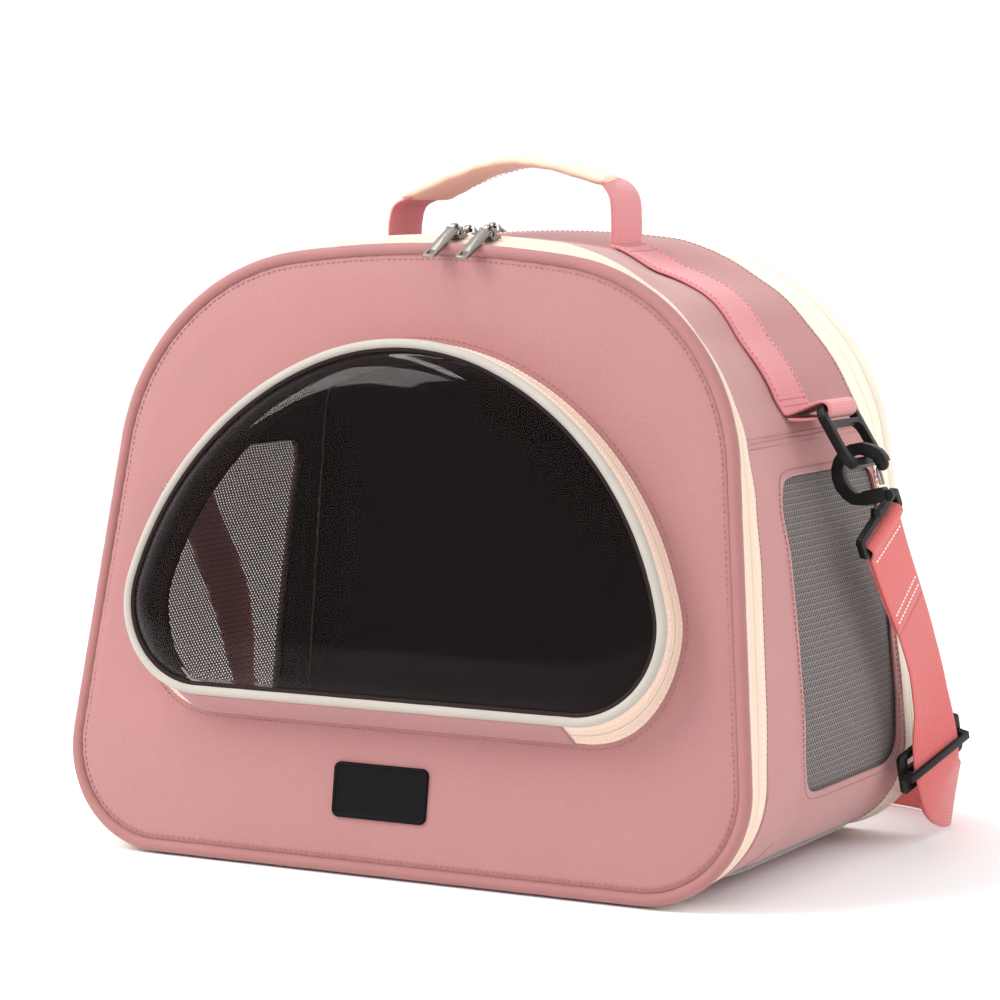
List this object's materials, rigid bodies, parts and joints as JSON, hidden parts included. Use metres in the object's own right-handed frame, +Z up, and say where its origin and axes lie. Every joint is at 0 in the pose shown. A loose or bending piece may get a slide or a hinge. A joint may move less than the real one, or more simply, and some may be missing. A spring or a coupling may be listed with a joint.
{
  "type": "soft-sided pet carrier bag",
  "caption": "Arched soft pet carrier with a clear bubble window, zipped fold-down ends, mesh sides, top handle and clip-on shoulder strap.",
  "frame": {"origin": "middle of the flat underside, on the floor", "axes": "+Z up, -Y out of the windowed front face, +X to the right seen from the front"},
  "size_m": [0.4685, 0.371, 0.3851],
  "materials": {
    "shell_fabric": "dusty pink woven polyester, matt",
    "webbing": "rose polypropylene webbing, matt",
    "piping": "deeper pink woven piping, matt",
    "zip_tape": "cream zip tape and sleeve fabric, matt",
    "window_trim": "light grey beige bound edge, matt",
    "lining": "dark woven lining, matt",
    "mesh": "grey ventilation netting, matt",
    "board": "stiffener sheet, plain",
    "mat": "grey padded pile, matt",
    "nickel": "dull nickel",
    "black_plastic": "black moulded, satin",
    "clear_sheet": "flexible clear vinyl, glossy"
  },
  "bodies": {
    "shell": {"base_panel": "shell_fabric", "base_board": "board", "base_lining": "lining", "floor_mat": "mat", "side_panel_right": "shell_fabric", "side_panel_left": "shell_fabric", "side_mesh_right": "mesh", "side_mesh_left": "mesh", "top_panel": "shell_fabric", "top_board": "board", "inner_lining": "lining", "front_zip_tape_body": "zip_tape", "rear_zip_tape_body": "zip_tape", "webbing_right": "webbing", "webbing_left": "webbing", "strap_run": "webbing", "strap_return": "webbing", "strap_adjuster": "black_plastic"},
    "front_door": {"front_panel": "shell_fabric", "front_board": "board", "front_lining": "lining", "front_piping": "piping", "label_patch": "black_plastic", "front_zip_tape_door": "zip_tape", "window_zip_tape_door": "zip_tape"},
    "window_lid": {"window_zip_tape_lid": "zip_tape", "window_hinge_strip": "shell_fabric", "window_piping": "window_trim", "window_pane": "clear_sheet"},
    "front_slider_left": {"front_zip_slider_left": "nickel"},
    "front_slider_right": {"front_zip_slider_right": "nickel"},
    "front_pull_left": {"front_zip_pull_left": "nickel"},
    "front_pull_right": {"front_zip_pull_right": "nickel"},
    "window_slider": {"window_zip_slider": "nickel"},
    "window_pull": {"window_zip_pull": "nickel"},
    "rear_door": {"rear_panel": "shell_fabric", "rear_board": "board", "rear_lining": "lining", "rear_piping": "piping", "rear_zip_tape_door": "zip_tape"},
    "rear_slider_left": {"rear_zip_slider_left": "nickel"},
    "rear_slider_right": {"rear_zip_slider_right": "nickel"},
    "rear_pull_left": {"rear_zip_pull_left": "nickel"},
    "rear_pull_right": {"rear_zip_pull_right": "nickel"},
    "handle": {"handle_webbing": "webbing", "handle_sleeve": "zip_tape"},
    "ring_right": {"ring_right": "black_plastic"},
    "ring_left": {"ring_left": "black_plastic"},
    "clip_right": {"hook_eye_right": "black_plastic", "strap_end_right": "webbing"},
    "clip_left": {"hook_eye_left": "black_plastic", "strap_end_left": "webbing"},
    "hook_right": {"hook_right": "black_plastic"},
    "hook_left": {"hook_left": "black_plastic"},
    "gate_right": {"hook_gate_right": "nickel"},
    "gate_left": {"hook_gate_left": "nickel"}
  },
  "joints": [
    {"name": "front_door_fold", "type": "hinge", "parent": "shell", "child": "front_door", "pos_m": [0, -0.1289, 0.0046], "axis": [1, 0, 0], "range_deg": [0, 78]},
    {"name": "rear_door_fold", "type": "hinge", "parent": "shell", "child": "rear_door", "pos_m": [0, 0.1289, 0.0046], "axis": [-1, 0, 0], "range_deg": [0, 50]},
    {"name": "window_fold", "type": "hinge", "parent": "front_door", "child": "window_lid", "pos_m": [0, -0.12102, 0.08489], "axis": [1, 0, 0], "range_deg": [0, 85]},
    {"name": "front_zip_travel_left", "type": "hinge", "parent": "front_door", "child": "front_slider_left", "pos_m": [0, -0.1533, -0.27388], "axis": [0, 0.9913, -0.1316], "range_deg": [-8.5, 0]},
    {"name": "front_zip_travel_right", "type": "hinge", "parent": "front_door", "child": "front_slider_right", "pos_m": [0, -0.1533, -0.27388], "axis": [0, 0.9913, -0.1316], "range_deg": [0, 5.2]},
    {"name": "rear_zip_travel_left", "type": "hinge", "parent": "rear_door", "child": "rear_slider_left", "pos_m": [0, 0.13781, -0.27482], "axis": [0, 0.9971, 0.0757], "range_deg": [-1, 0]},
    {"name": "rear_zip_travel_right", "type": "hinge", "parent": "rear_door", "child": "rear_slider_right", "pos_m": [0, 0.13781, -0.27482], "axis": [0, 0.9971, 0.0757], "range_deg": [0, 11]},
    {"name": "front_pull_swing_left", "type": "hinge", "parent": "front_slider_left", "child": "front_pull_left", "pos_m": [0.00815, -0.07295, 0.34353], "axis": [-0.9999, 0.0017, 0.013], "range_deg": [0, 130]},
    {"name": "front_pull_swing_right", "type": "hinge", "parent": "front_slider_right", "child": "front_pull_right", "pos_m": [0.02825, -0.07303, 0.34294], "axis": [-0.999, 0.006, 0.045], "range_deg": [0, 130]},
    {"name": "rear_pull_swing_left", "type": "hinge", "parent": "rear_slider_left", "child": "rear_pull_left", "pos_m": [-0.0715, 0.09262, 0.34147], "axis": [0.9934, -0.0087, 0.1146], "range_deg": [0, 130]},
    {"name": "rear_pull_swing_right", "type": "hinge", "parent": "rear_slider_right", "child": "rear_pull_right", "pos_m": [-0.0553, 0.0925, 0.34313], "axis": [0.996, -0.0067, 0.0886], "range_deg": [0, 130]},
    {"name": "window_zip_travel", "type": "hinge", "parent": "front_door", "child": "window_slider", "pos_m": [0.01479, -0.12576, 0.10693], "axis": [0, 0.9913, -0.1316], "range_deg": [0, 30]},
    {"name": "window_pull_swing", "type": "hinge", "parent": "window_slider", "child": "window_pull", "pos_m": [-0.14733, -0.11345, 0.19971], "axis": [0, 0.9913, -0.1316], "range_deg": [0, 105]},
    {"name": "handle_swing", "type": "hinge", "parent": "shell", "child": "handle", "pos_m": [0, 0.015, 0.347], "axis": [1, 0, 0], "range_deg": [-35, 35]},
    {"name": "ring_swing_right", "type": "hinge", "parent": "shell", "child": "ring_right", "pos_m": [0.192, 0.015, 0.249], "axis": [0, -1, 0], "range_deg": [0, 20]},
    {"name": "clip_swing_right", "type": "hinge", "parent": "shell", "child": "clip_right", "pos_m": [0.192, 0.015, 0.249], "axis": [0, -1, 0], "range_deg": [0, 20]},
    {"name": "hook_turn_right", "type": "hinge", "parent": "clip_right", "child": "hook_right", "pos_m": [0.2157, 0.0141, 0.1955], "axis": [-0.2419, 0, 0.9703], "range_deg": [-8, 8]},
    {"name": "gate_open_right", "type": "hinge", "parent": "hook_right", "child": "gate_right", "pos_m": [0.21968, 0.015, 0.20927], "axis": [0, -1, 0], "range_deg": [0, 22], "stiffness_Nm_per_rad": 0.02, "springref_deg": -5.73},
    {"name": "ring_swing_left", "type": "hinge", "parent": "shell", "child": "ring_left", "pos_m": [-0.192, 0.015, 0.249], "axis": [0, 1, 0], "range_deg": [0, 20]},
    {"name": "clip_swing_left", "type": "hinge", "parent": "shell", "child": "clip_left", "pos_m": [-0.192, 0.015, 0.249], "axis": [0, 1, 0], "range_deg": [0, 20]},
    {"name": "hook_turn_left", "type": "hinge", "parent": "clip_left", "child": "hook_left", "pos_m": [-0.2157, 0.0141, 0.1955], "axis": [0.2419, 0, 0.9703], "range_deg": [-8, 8]},
    {"name": "gate_open_left", "type": "hinge", "parent": "hook_left", "child": "gate_left", "pos_m": [-0.21968, 0.015, 0.20927], "axis": [0, 1, 0], "range_deg": [0, 22], "stiffness_Nm_per_rad": 0.02, "springref_deg": -5.73}
  ],
  "couplings": [
    {"joint": "ring_swing_right", "follows": "clip_swing_right", "ratio": 1},
    {"joint": "ring_swing_left", "follows": "clip_swing_left", "ratio": 1}
  ]
}
